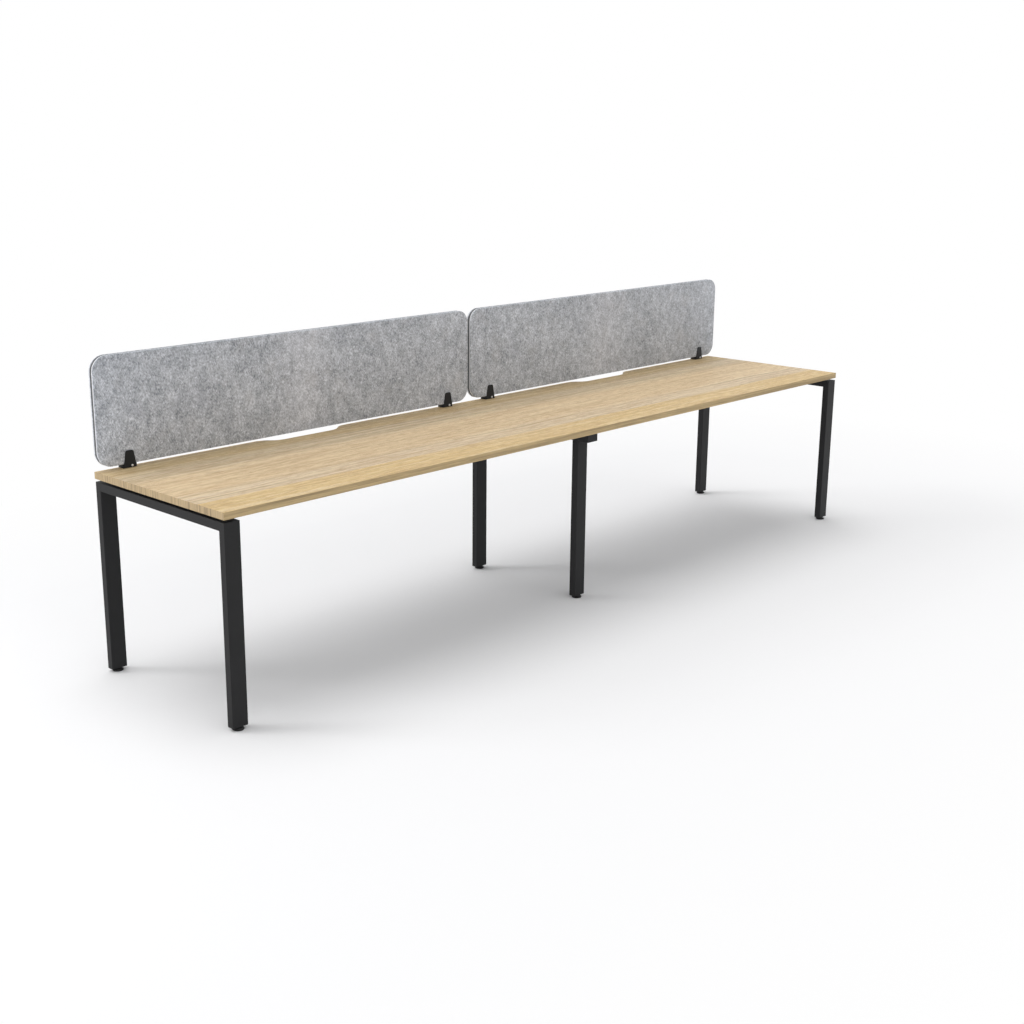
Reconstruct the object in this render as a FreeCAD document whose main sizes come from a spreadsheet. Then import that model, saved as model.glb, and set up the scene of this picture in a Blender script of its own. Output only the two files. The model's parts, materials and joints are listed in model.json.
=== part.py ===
import FreeCAD, Part
import math
import os
import Sketcher

# Single-sided office workstation for two people, side by side: two oak-look tops on three
# black tube frames, a felt screen clamped to the rear edge of each top.
# Millimetres, +Z up, +X along the desk, +Y to the rear. The origin is on the floor under the
# middle of the desk.

doc = FreeCAD.newDocument("workstation")
sheet = doc.addObject("Spreadsheet::Sheet", "sizes")

# Driving dimensions in millimetres, by their alias in the sheet
driving = {
    # Tops
    "bay_length": 1800,
    "desk_depth": 750,
    "desk_height": 730,
    "top_thickness": 25,
    "band_thickness": 2,
    "band_round": 1,
    "glue_line": 0.1,
    "scallop_width": 440,
    "scallop_floor": 230,
    "scallop_depth": 46,
    # Tube frames
    "tube_width": 60,
    "tube_height": 30,
    "tube_wall": 1.5,
    "tube_round": 2.5,
    "frame_inset": 1,
    "centre_rail_setback": 30,
    "centre_leg_setback": 80,
    "insert_clearance": 0.25,
    "cap_thickness": 3,
    "cap_depth": 15,
    # Plugs and levelling feet
    "plug_flange": 2,
    "plug_depth": 26,
    "foot_height": 12,
    "foot_diameter": 40,
    "foot_pad_height": 8,
    "foot_rim": 5,
    "foot_slope": 4,
    "foot_bevel": 1,
    "foot_collar": 16,
    "stem_diameter": 8,
    "stem_length": 26,
    "moving_clearance": 0.3,
    # Beams and the saddles that carry them
    "beam_offset": 175,
    "beam_end_gap": 0.5,
    "beam_side_gap": 0.4,
    "saddle_plate": 3,
    "saddle_length": 45,
    "saddle_lip": 18,
    "saddle_screw_reach": 28,
    "saddle_screw_spacing": 30,
    "saddle_screw_diameter": 6,
    "saddle_screw_length": 12,
    "saddle_screw_head": 12,
    "saddle_screw_head_height": 3.5,
    "screw_clearance": 0.2,
    # Spacers under the tops and the screws that pass through them
    "spacer_height": 10,
    "spacer_diameter": 24,
    "top_screw_diameter": 5,
    "top_screw_head": 10,
    "top_screw_head_height": 3,
    "top_screw_bite": 16,
    "rail_screw_offset": 235,
    "seam_screw_offset": 15,
    "beam_screw_offset": 450,
    # Screens
    "screen_height": 386,
    "screen_lift": 14,
    "screen_gap": 16,
    "screen_corner": 55,
    "felt_thickness": 8,
    "felt_round": 3,
    "core_thickness": 12,
    "core_recess": 2,
    # Screen clamps
    "clamp_inset": 122,
    "clamp_width": 54,
    "jaw_thickness": 3,
    "jaw_height": 62,
    "jaw_foot_width": 52,
    "jaw_top_width": 30,
    "jaw_round": 8,
    "jaw_edge": 0.8,
    "jaw_clearance": 0.5,
    "pinch_offset": 7,
    "pinch_height": 7.5,
    "pinch_diameter": 5,
    "pinch_length": 25,
    "pinch_head": 9,
    "pinch_head_height": 3,
    "pinch_bevel": 0.8,
    "fixing_spacing": 34,
    "fixing_diameter": 4,
    "fixing_head": 8,
    "fixing_head_height": 3,
    "fixing_bite": 14,
}
for row, (alias, number) in enumerate(driving.items(), 1):
    sheet.set(f"A{row}", alias.replace("_", " "))
    sheet.set(f"B{row}", str(number))
    sheet.setAlias(f"B{row}", alias)


class Size:
    # A length as its number and as the expression that reads it from the sheet.

    def __init__(self, number, text):
        self.number = number
        self.text = text

    def __add__(self, other):
        other = asSize(other)
        return Size(self.number + other.number, f"({self.text} + {other.text})")

    def __sub__(self, other):
        other = asSize(other)
        return Size(self.number - other.number, f"({self.text} - {other.text})")

    def __mul__(self, other):
        other = asSize(other)
        return Size(self.number * other.number, f"({self.text} * {other.text})")

    def __truediv__(self, other):
        other = asSize(other)
        return Size(self.number / other.number, f"({self.text} / {other.text})")

    def __neg__(self):
        return Size(-self.number, f"(0 - {self.text})")


def asSize(value):
    if isinstance(value, Size):
        return value
    return Size(value, f"({value})")


class Sizes:
    # Each driving dimension by its alias, written as it is in an expression.

    def __getattr__(self, alias):
        return Size(driving[alias], f"sizes.{alias}")


sizes = Sizes()

# Heights and places that follow from the sizes above
topUnderside = sizes.desk_height - sizes.top_thickness
frameTop = topUnderside - sizes.spacer_height
railUnderside = frameTop - sizes.tube_height
railMiddle = frameTop - sizes.tube_height / 2
tubeFoot = sizes.foot_height + sizes.plug_flange
bayMiddle = sizes.bay_length / 2
endFrameX = sizes.bay_length - sizes.frame_inset - sizes.tube_width / 2
endLegY = sizes.desk_depth / 2 - sizes.frame_inset - sizes.tube_height / 2
centreLegY = sizes.desk_depth / 2 - sizes.centre_leg_setback - sizes.tube_height / 2
endRailInner = endFrameX - sizes.tube_width / 2
centreRailFace = sizes.tube_width / 2
beamLength = endRailInner - centreRailFace - (sizes.saddle_plate + sizes.beam_end_gap) * 2
beamMiddle = (endRailInner + centreRailFace) / 2
panelThickness = sizes.core_thickness + sizes.felt_thickness * 2
panelMiddleY = sizes.desk_depth / 2 - sizes.jaw_thickness - panelThickness / 2
screenWidth = sizes.bay_length - sizes.screen_gap / 2
screenMiddleX = (sizes.bay_length + sizes.screen_gap / 2) / 2
screenMiddleZ = sizes.desk_height + sizes.screen_lift + sizes.screen_height / 2
topScrewHole = sizes.top_screw_diameter / 2 + sizes.screw_clearance
saddleScrewHole = sizes.saddle_screw_diameter / 2 + sizes.screw_clearance
fixingHole = sizes.fixing_diameter / 2 + sizes.screw_clearance
insertInset = sizes.tube_wall + sizes.insert_clearance
outerClampX = sizes.bay_length - sizes.clamp_inset
innerClampX = sizes.screen_gap / 2 + sizes.clamp_inset

# Each end of the desk by name, with the sign of its X, and each side with the sign of its Y
ends = {"left": -1, "right": 1}
sides = {"front": -1, "rear": 1}

quarter = math.pi / 2
up = FreeCAD.Vector(0, 0, 1)


# Sketching

def newBody(label):
    body = doc.addObject("PartDesign::Body", label)
    body.Label = label
    return body


def sketchOn(body, role, lift=0):
    plane = next(item for item in body.Origin.OriginFeatures if item.Role == role)
    sketch = body.newObject("Sketcher::SketchObject", f"{body.Name}_sketch")
    sketch.AttachmentSupport = [(plane, "")]
    sketch.MapMode = "FlatFace"
    sketch.setExpression("AttachmentOffset.Base.z", asSize(lift).text)
    return sketch


def limit(sketch, kind, ends, size):
    index = sketch.addConstraint(Sketcher.Constraint(kind, *ends, size.number))
    sketch.setExpression(f"Constraints[{index}]", size.text)


def pin(sketch, geometry, point, x=None, y=None):
    # Holds a point of the sketch at a distance from the sketch's own axes.
    for kind, axis, where in (("DistanceX", -2, x), ("DistanceY", -1, y)):
        if where is None:
            continue
        where = asSize(where)
        if where.number == 0:
            sketch.addConstraint(Sketcher.Constraint("PointOnObject", geometry, point, axis))
        elif where.number > 0:
            limit(sketch, kind, (-1, 1, geometry, point), where)
        else:
            limit(sketch, kind, (geometry, point, -1, 1), -where)


def polygon(sketch, corners):
    first = sketch.GeometryCount
    points = [FreeCAD.Vector(asSize(x).number, asSize(y).number, 0) for x, y in corners]
    count = len(points)
    for index in range(count):
        sketch.addGeometry(Part.LineSegment(points[index], points[(index + 1) % count]))
    for index, (x, y) in enumerate(corners):
        following = first + (index + 1) % count
        sketch.addConstraint(Sketcher.Constraint("Coincident", first + index, 2, following, 1))
        pin(sketch, first + index, 1, x, y)


def circle(sketch, x, y, radius):
    centre = FreeCAD.Vector(asSize(x).number, asSize(y).number, 0)
    index = sketch.addGeometry(Part.Circle(centre, up, radius.number))
    limit(sketch, "Radius", (index,), radius)
    pin(sketch, index, 3, x, y)


def arc(sketch, x, y, radius, start, end):
    centre = FreeCAD.Vector(x.number, y.number, 0)
    return sketch.addGeometry(Part.ArcOfCircle(Part.Circle(centre, up, radius.number), start, end))


def line(sketch, start, end):
    points = [FreeCAD.Vector(asSize(x).number, asSize(y).number, 0) for x, y in (start, end)]
    return sketch.addGeometry(Part.LineSegment(*points))


def tie(sketch, kind, *joints):
    for joint in joints:
        sketch.addConstraint(Sketcher.Constraint(kind, *joint))


def roundedRectangle(sketch, width, height, radius):
    # Centred on the sketch's origin.
    right = width / 2
    upper = height / 2
    inX = right - radius
    inY = upper - radius
    bottom = line(sketch, (-inX, -upper), (inX, -upper))
    corners = [arc(sketch, inX, -inY, radius, -quarter, 0)]
    rightSide = line(sketch, (right, -inY), (right, inY))
    corners.append(arc(sketch, inX, inY, radius, 0, quarter))
    top = line(sketch, (inX, upper), (-inX, upper))
    corners.append(arc(sketch, -inX, inY, radius, quarter, 2 * quarter))
    leftSide = line(sketch, (-right, inY), (-right, -inY))
    corners.append(arc(sketch, -inX, -inY, radius, 2 * quarter, 3 * quarter))
    around = [bottom, corners[0], rightSide, corners[1], top, corners[2], leftSide, corners[3]]
    for index, item in enumerate(around):
        tie(sketch, "Tangent", (item, 2, around[(index + 1) % len(around)], 1))
    tie(sketch, "Horizontal", (bottom,), (top,))
    tie(sketch, "Vertical", (rightSide,), (leftSide,))
    for corner in corners[1:]:
        tie(sketch, "Equal", (corners[0], corner))
    limit(sketch, "Radius", (corners[0],), radius)
    limit(sketch, "DistanceX", (leftSide, 1, rightSide, 1), width)
    limit(sketch, "DistanceY", (bottom, 1, top, 1), height)
    pin(sketch, rightSide, 1, x=right)
    pin(sketch, top, 1, y=upper)


# Features

def pad(body, sketch, length, symmetric=False):
    feature = body.newObject("PartDesign::Pad", f"{body.Name}_pad")
    feature.Profile = sketch
    feature.SideType = "Symmetric" if symmetric else "One side"
    feature.setExpression("Length", length.text)
    doc.recompute()
    return feature


def pocket(body, sketch, depth=None, upward=False):
    # A pocket with no depth goes right through, both ways from its sketch.
    before = body.Shape.Volume
    feature = body.newObject("PartDesign::Pocket", f"{body.Name}_pocket")
    feature.Profile = sketch
    feature.Reversed = upward
    if depth is None:
        feature.Type = "ThroughAll"
        feature.SideType = "Symmetric"
    else:
        feature.setExpression("Length", depth.text)
    doc.recompute()
    if body.Shape.Volume >= before:
        raise RuntimeError(f"{body.Label}: a pocket removes nothing")


def revolve(body, sketch):
    feature = body.newObject("PartDesign::Revolution", f"{body.Name}_revolution")
    feature.Profile = sketch
    feature.ReferenceAxis = (sketch, ["V_Axis"])
    feature.Angle = 360
    doc.recompute()


def fillet(body, edges, radius):
    base = body.Tip
    feature = body.newObject("PartDesign::Fillet", f"{body.Name}_fillet")
    feature.Base = (base, edges)
    feature.setExpression("Radius", radius.text)
    doc.recompute()


def rimEdges(shape, *directions):
    # The outline edges of each flat face that looks along one of the directions.
    names = []
    for face in shape.Faces:
        if face.Surface.TypeId != "Part::GeomPlane":
            continue
        normal = face.normalAt(*face.Surface.parameter(face.CenterOfMass))
        if not any(normal.isEqual(FreeCAD.Vector(*way), 1e-6) for way in directions):
            continue
        for edge in face.OuterWire.Edges:
            number = next(i for i, other in enumerate(shape.Edges, 1) if other.isSame(edge))
            names.append(f"Edge{number}")
    return names


def place(item, x, y, z, turn=0):
    # The turn is about the vertical, in degrees.
    item.Placement = FreeCAD.Placement(FreeCAD.Vector(), FreeCAD.Rotation(up, turn))
    for axis, where in zip("xyz", (x, y, z)):
        item.setExpression(f"Placement.Base.{axis}", asSize(where).text)


def group(label, master, places):
    # Copies of one small piece that share a node: separate solids, one at each place.
    links = []
    for where in places:
        link = doc.addObject("App::Link", f"{label}_copy")
        link.LinkedObject = master
        place(link, *where)
        links.append(link)
    compound = doc.addObject("Part::Compound", label)
    compound.Label = label
    compound.Links = links
    return compound


# Tops

def topOutline(sketch, inset):
    # The top seen from above, drawn in by the inset: a rectangle whose rear edge dips to a flat
    # cable scallop through two S-curves, each made of two arcs of one radius.
    run = (sizes.scallop_width - sizes.scallop_floor) / 2
    bend = (run * run + sizes.scallop_depth * sizes.scallop_depth) / (sizes.scallop_depth * 4)
    right = sizes.bay_length / 2 - inset
    rear = sizes.desk_depth / 2 - inset
    floorY = sizes.desk_depth / 2 - sizes.scallop_depth - inset
    mouth = sizes.scallop_width / 2
    flat = sizes.scallop_floor / 2
    shoulder = bend - inset
    hollow = bend + inset
    shoulderY = rear - shoulder
    hollowY = floorY + hollow
    lean = FreeCAD.Vector(-run.number, (hollowY - shoulderY).number, 0)
    swing = quarter + lean.getAngle(FreeCAD.Vector(0, 1, 0))
    front = line(sketch, (-right, -rear), (right, -rear))
    rightEnd = line(sketch, (right, -rear), (right, rear))
    rearRight = line(sketch, (right, rear), (mouth, rear))
    shoulderRight = arc(sketch, mouth, shoulderY, shoulder, quarter, swing)
    hollowRight = arc(sketch, flat, hollowY, hollow, 3 * quarter, 2 * quarter + swing)
    floor = line(sketch, (flat, floorY), (-flat, floorY))
    hollowLeft = arc(sketch, -flat, hollowY, hollow, -swing, -quarter)
    shoulderLeft = arc(sketch, -mouth, shoulderY, shoulder, 2 * quarter - swing, quarter)
    rearLeft = line(sketch, (-mouth, rear), (-right, rear))
    leftEnd = line(sketch, (-right, rear), (-right, -rear))
    corners = ((front, rightEnd), (rightEnd, rearRight), (rearLeft, leftEnd), (leftEnd, front))
    for before, after in corners:
        tie(sketch, "Coincident", (before, 2, after, 1))
    tie(sketch, "Tangent", (rearRight, 2, shoulderRight, 1), (shoulderRight, 2, hollowRight, 2))
    tie(sketch, "Tangent", (hollowRight, 1, floor, 1), (floor, 2, hollowLeft, 2))
    tie(sketch, "Tangent", (hollowLeft, 1, shoulderLeft, 1), (shoulderLeft, 2, rearLeft, 1))
    tie(sketch, "Horizontal", (rearRight,), (floor,), (rearLeft,))
    pin(sketch, front, 1, -right, -rear)
    pin(sketch, front, 2, right, -rear)
    pin(sketch, rightEnd, 2, right, rear)
    pin(sketch, leftEnd, 1, -right, rear)
    pin(sketch, shoulderRight, 3, x=mouth)
    pin(sketch, hollowRight, 3, x=flat)
    pin(sketch, hollowLeft, 3, x=-flat)
    pin(sketch, shoulderLeft, 3, x=-mouth)
    pin(sketch, floor, 1, y=floorY)
    limit(sketch, "Radius", (shoulderRight,), shoulder)
    limit(sketch, "Radius", (shoulderLeft,), shoulder)


def topScrewPlaces(end):
    # Where the screws of one top stand, seen from above: on its end rail, on the centre rail
    # beside the seam, and along both beams.
    for side in sides.values():
        yield endFrameX * end, sizes.rail_screw_offset * side
        yield sizes.seam_screw_offset * end, sizes.rail_screw_offset * side
        for step in (-1, 1):
            yield bayMiddle * end + sizes.beam_screw_offset * step, sizes.beam_offset * side


def clampPlaces():
    for endName, end in ends.items():
        yield f"{endName}_outer_clamp", outerClampX * end
        yield f"{endName}_inner_clamp", innerClampX * end


def worktop(endName, end):
    # The board lies with its underside on the local XY plane, centred on its bay.
    body = newBody(f"worktop_{endName}")
    outline = sketchOn(body, "XY_Plane")
    topOutline(outline, sizes.band_thickness + sizes.glue_line)
    pad(body, outline, sizes.top_thickness)
    pilots = sketchOn(body, "XY_Plane")
    for x, y in topScrewPlaces(end):
        circle(pilots, x - bayMiddle * end, y, topScrewHole)
    pocket(body, pilots, sizes.top_screw_bite + sizes.screw_clearance, upward=True)
    fixings = sketchOn(body, "XY_Plane", sizes.top_thickness)
    for clampName, clampX in clampPlaces():
        if clampName.startswith(endName):
            for step in (-1, 1):
                x = clampX - bayMiddle * end + sizes.fixing_spacing / 2 * step
                circle(fixings, x, panelMiddleY, fixingHole)
    pocket(body, fixings, sizes.fixing_bite + sizes.screw_clearance)
    place(body, bayMiddle * end, 0, topUnderside)
    return body


def edgeBand(endName, end):
    # One strip round the whole board, with softened arrises.
    body = newBody(f"worktop_{endName}_edge_band")
    outline = sketchOn(body, "XY_Plane")
    topOutline(outline, asSize(0))
    topOutline(outline, sizes.band_thickness)
    strip = pad(body, outline, sizes.top_thickness)
    fillet(body, rimEdges(strip.Shape, (0, 0, 1), (0, 0, -1)), sizes.band_round)
    place(body, bayMiddle * end, 0, topUnderside)
    return body


# Frames

def boreSection(sketch, inset):
    # The tube's section drawn in by the inset, with the corners of the tube's bore.
    shrink = inset * 2
    corner = sizes.tube_round - sizes.tube_wall
    roundedRectangle(sketch, sizes.tube_width - shrink, sizes.tube_height - shrink, corner)


def tubeSection(sketch):
    roundedRectangle(sketch, sizes.tube_width, sizes.tube_height, sizes.tube_round)
    boreSection(sketch, sizes.tube_wall)


def leg(label, length, mitred):
    # Stands on the local XY plane. A mitred leg is highest on its local -Y side.
    body = newBody(label)
    section = sketchOn(body, "XY_Plane")
    tubeSection(section)
    pad(body, section, length)
    if mitred:
        half = sizes.tube_height / 2
        spare = sizes.tube_round
        outer = -half - spare
        inner = half + spare
        upper = length + spare
        lower = length - sizes.tube_height - spare
        mitre = sketchOn(body, "YZ_Plane")
        polygon(mitre, [(outer, upper), (inner, lower), (inner, upper)])
        pocket(body, mitre)
    return body


def crossRail(label, length, mitred, screwX):
    # Runs along the local Y axis, centred on the local origin.
    body = newBody(label)
    section = sketchOn(body, "XZ_Plane")
    tubeSection(section)
    pad(body, section, length, symmetric=True)
    if mitred:
        half = sizes.tube_height / 2
        spare = sizes.tube_round
        far = length / 2 + spare
        near = length / 2 - sizes.tube_height - spare
        mitres = sketchOn(body, "YZ_Plane")
        for side in sides.values():
            polygon(mitres, [(far * side, half + spare), (far * side, -half - spare),
                             (near * side, -half - spare)])
        pocket(body, mitres)
    holes = sketchOn(body, "XY_Plane")
    for x in screwX:
        for side in sides.values():
            circle(holes, x, sizes.rail_screw_offset * side, topScrewHole)
    pocket(body, holes)
    return body


def endFrame(endName, end):
    rail = crossRail(f"{endName}_cross_rail", sizes.desk_depth - sizes.frame_inset * 2, True, [0])
    place(rail, endFrameX * end, 0, railMiddle)
    pieces = [rail]
    for sideName, side in sides.items():
        upright = leg(f"{endName}_{sideName}_leg", frameTop - tubeFoot, True)
        place(upright, endFrameX * end, endLegY * side, tubeFoot, 0 if side < 0 else 180)
        pieces.append(upright)
    return pieces


def centreFrame():
    # Its rail runs forward past the legs, which stand well in from the desk's edges.
    length = sizes.desk_depth - sizes.centre_rail_setback * 2 - sizes.cap_thickness * 2
    screwX = [-sizes.seam_screw_offset, sizes.seam_screw_offset]
    rail = crossRail("centre_cross_rail", length, False, screwX)
    place(rail, 0, 0, railMiddle)
    pieces = [rail]
    for sideName, side in sides.items():
        upright = leg(f"centre_{sideName}_leg", railUnderside - tubeFoot, False)
        place(upright, 0, centreLegY * side, tubeFoot)
        pieces.append(upright)
    return pieces


def railCaps():
    # A cap closes each end of the centre rail. The master looks along -Y.
    master = newBody("rail_cap_master")
    face = sketchOn(master, "XZ_Plane")
    roundedRectangle(face, sizes.tube_width, sizes.tube_height, sizes.tube_round)
    pad(master, face, sizes.cap_thickness)
    insert = sketchOn(master, "XZ_Plane", -sizes.cap_depth)
    boreSection(insert, insertInset)
    pad(master, insert, sizes.cap_depth)
    seat = sizes.desk_depth / 2 - sizes.centre_rail_setback - sizes.cap_thickness
    places = [(0, seat * side, railMiddle, 0 if side < 0 else 180) for side in sides.values()]
    return group("centre_rail_end_caps", master, places)


def legPlaces():
    # Every leg by name with the middle of its foot.
    for sideName, side in sides.items():
        for endName, end in ends.items():
            yield f"{endName}_{sideName}", endFrameX * end, endLegY * side
        yield f"centre_{sideName}", asSize(0), centreLegY * side


def legPlugs():
    # A flanged plug closes each leg and holds the thread of its foot.
    master = newBody("leg_plug_master")
    flange = sketchOn(master, "XY_Plane")
    roundedRectangle(flange, sizes.tube_width, sizes.tube_height, sizes.tube_round)
    pad(master, flange, sizes.plug_flange)
    insert = sketchOn(master, "XY_Plane", sizes.plug_flange)
    boreSection(insert, insertInset)
    pad(master, insert, sizes.plug_depth)
    thread = sketchOn(master, "XY_Plane")
    circle(thread, 0, 0, sizes.stem_diameter / 2 + sizes.moving_clearance)
    pocket(master, thread)
    groups = []
    for frameName in ("left", "centre", "right"):
        places = [(x, y, sizes.foot_height) for name, x, y in legPlaces() if name.startswith(frameName)]
        groups.append(group(f"{frameName}_leg_plugs", master, places))
    return groups


def levellingFoot(name, x, y):
    # A round glide with its threaded stem, turned in one piece.
    body = newBody(f"{name}_foot")
    profile = sketchOn(body, "XZ_Plane")
    rim = sizes.foot_diameter / 2
    collar = sizes.foot_collar / 2
    stem = sizes.stem_diameter / 2
    tip = sizes.foot_height + sizes.stem_length
    glide = [(0, 0), (rim - sizes.foot_bevel, 0), (rim, sizes.foot_bevel), (rim, sizes.foot_rim),
             (rim - sizes.foot_slope, sizes.foot_pad_height), (collar, sizes.foot_pad_height)]
    rod = [(collar, sizes.foot_height), (stem, sizes.foot_height), (stem, tip - sizes.foot_bevel),
           (stem - sizes.foot_bevel, tip), (0, tip)]
    polygon(profile, glide + rod)
    revolve(body, profile)
    place(body, x, y, 0)
    return body


# Beams

def beam(endName, end, sideName, side):
    # Runs along the local X axis, centred on the local origin.
    body = newBody(f"{endName}_{sideName}_beam")
    section = sketchOn(body, "YZ_Plane")
    tubeSection(section)
    pad(body, section, beamLength, symmetric=True)
    holes = sketchOn(body, "XY_Plane")
    for step in (-1, 1):
        x = (bayMiddle - beamMiddle) * end + sizes.beam_screw_offset * step
        circle(holes, x, 0, topScrewHole)
    pocket(body, holes)
    seats = sketchOn(body, "XY_Plane", -sizes.tube_height / 2)
    reach = beamLength / 2 - (sizes.saddle_screw_reach - sizes.saddle_plate - sizes.beam_end_gap)
    for step in (-1, 1):
        for across in (-1, 1):
            y = sizes.saddle_screw_spacing / 2 * across
            circle(seats, reach * step, y, saddleScrewHole)
    pocket(body, seats, sizes.tube_wall * 2, upward=True)
    place(body, beamMiddle * end, sizes.beam_offset * side, railMiddle)
    return body


def saddle(label, x, y, turn):
    # A folded bracket on the face of a rail. The beam drops in between its lips. The rail's
    # face is the local YZ plane, and the beam's underside is the local XY plane.
    body = newBody(label)
    inner = sizes.tube_width / 2 + sizes.beam_side_gap
    outer = inner + sizes.saddle_plate
    channel = sketchOn(body, "YZ_Plane")
    polygon(channel, [(-outer, -sizes.saddle_plate), (outer, -sizes.saddle_plate),
                      (outer, sizes.saddle_lip), (inner, sizes.saddle_lip), (inner, 0), (-inner, 0),
                      (-inner, sizes.saddle_lip), (-outer, sizes.saddle_lip)])
    pad(body, channel, sizes.saddle_length)
    back = sketchOn(body, "YZ_Plane")
    polygon(back, [(-outer, -sizes.saddle_plate), (outer, -sizes.saddle_plate),
                   (outer, sizes.tube_height), (-outer, sizes.tube_height)])
    pad(body, back, sizes.saddle_plate)
    holes = sketchOn(body, "XY_Plane")
    for across in (-1, 1):
        y0 = sizes.saddle_screw_spacing / 2 * across
        circle(holes, sizes.saddle_screw_reach, y0, saddleScrewHole)
    pocket(body, holes, sizes.saddle_plate * 2)
    place(body, x, y, railUnderside, turn)
    return body


def saddlePlaces():
    # Every saddle by name, with the rail face that it sits on and the way that it looks.
    for endName, end in ends.items():
        for sideName, side in sides.items():
            y = sizes.beam_offset * side
            outward = 0 if end < 0 else 180
            yield f"{endName}_{sideName}_outer_saddle", endRailInner * end, y, outward
            yield f"{endName}_{sideName}_inner_saddle", centreRailFace * end, y, 180 - outward


# Fasteners

def screwMaster(label, head, headHeight, diameter, length):
    # A plain screw on the local Z axis: the head below the local XY plane, the shank above.
    body = newBody(label)
    profile = sketchOn(body, "XZ_Plane")
    shank = diameter / 2
    rim = head / 2
    polygon(profile, [(0, -headHeight), (rim, -headHeight), (rim, 0), (shank, 0), (shank, length),
                      (0, length)])
    revolve(body, profile)
    return body


def topSpacers():
    master = newBody("spacer_master")
    ring = sketchOn(master, "XY_Plane")
    circle(ring, 0, 0, sizes.spacer_diameter / 2)
    circle(ring, 0, 0, topScrewHole)
    pad(master, ring, sizes.spacer_height)
    places = [(x, y, frameTop) for end in ends.values() for x, y in topScrewPlaces(end)]
    return group("top_spacers", master, places)


def topScrews():
    # Each one comes up through a tube and its spacer into the board.
    length = sizes.tube_height + sizes.spacer_height + sizes.top_screw_bite
    master = screwMaster("top_screw_master", sizes.top_screw_head, sizes.top_screw_head_height,
                         sizes.top_screw_diameter, length)
    places = [(x, y, railUnderside) for end in ends.values() for x, y in topScrewPlaces(end)]
    return group("top_screws", master, places)


def saddleScrews():
    # Two at each end of a beam, up through the saddle into the beam's lower wall.
    master = screwMaster("saddle_screw_master", sizes.saddle_screw_head, sizes.saddle_screw_head_height,
                         sizes.saddle_screw_diameter, sizes.saddle_screw_length)
    places = []
    for label, x, y, turn in saddlePlaces():
        way = 1 if turn == 0 else -1
        for across in (-1, 1):
            screwX = x + sizes.saddle_screw_reach * way
            screwY = y + sizes.saddle_screw_spacing / 2 * across
            places.append((screwX, screwY, railUnderside - sizes.saddle_plate))
    return group("saddle_screws", master, places)


def fixingScrews():
    # Two hold each clamp down on its top, under the screen. The master's head is uppermost.
    master = newBody("fixing_screw_master")
    profile = sketchOn(master, "XZ_Plane")
    shank = sizes.fixing_diameter / 2
    rim = sizes.fixing_head / 2
    seat = sizes.screen_lift - sizes.fixing_head_height
    polygon(profile, [(0, -sizes.fixing_bite), (shank, -sizes.fixing_bite), (shank, seat), (rim, seat),
                      (rim, sizes.screen_lift), (0, sizes.screen_lift)])
    revolve(master, profile)
    places = []
    for label, x in clampPlaces():
        for step in (-1, 1):
            places.append((x + sizes.fixing_spacing / 2 * step, panelMiddleY, sizes.desk_height))
    return group("clamp_fixing_screws", master, places)


# Screens

def screen(endName, end):
    # A dark core between two felt pads that stand a little proud of it all round.
    x = screenMiddleX * end
    core = newBody(f"{endName}_screen_core")
    outline = sketchOn(core, "XZ_Plane")
    shrink = sizes.core_recess * 2
    corner = sizes.screen_corner - sizes.core_recess
    roundedRectangle(outline, screenWidth - shrink, sizes.screen_height - shrink, corner)
    pad(core, outline, sizes.core_thickness, symmetric=True)
    place(core, x, panelMiddleY, screenMiddleZ)
    pieces = [core]
    for sideName, turn in (("front", 0), ("rear", 180)):
        felt = newBody(f"{endName}_screen_{sideName}_felt")
        outline = sketchOn(felt, "XZ_Plane", sizes.core_thickness / 2)
        roundedRectangle(outline, screenWidth, sizes.screen_height, sizes.screen_corner)
        sheetOfFelt = pad(felt, outline, sizes.felt_thickness)
        fillet(felt, rimEdges(sheetOfFelt.Shape, (0, -1, 0)), sizes.felt_round)
        place(felt, x, panelMiddleY, screenMiddleZ, turn)
        pieces.append(felt)
    return pieces


def jawOutline(sketch, foot):
    # A plate that tapers upwards from its foot.
    wide = sizes.jaw_foot_width / 2
    narrow = sizes.jaw_top_width / 2
    polygon(sketch, [(-wide, foot), (wide, foot), (narrow, sizes.jaw_height),
                     (-narrow, sizes.jaw_height)])


def topCorners(shape):
    # The two short edges at the upper corners of a jaw.
    names = []
    for number, edge in enumerate(shape.Edges, 1):
        along = edge.Vertexes[-1].Point - edge.Vertexes[0].Point
        high = min(vertex.Z for vertex in edge.Vertexes) > sizes.jaw_height.number - 1e-6
        if high and abs(along.y) > 1e-6:
            names.append(f"Edge{number}")
    return names


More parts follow.
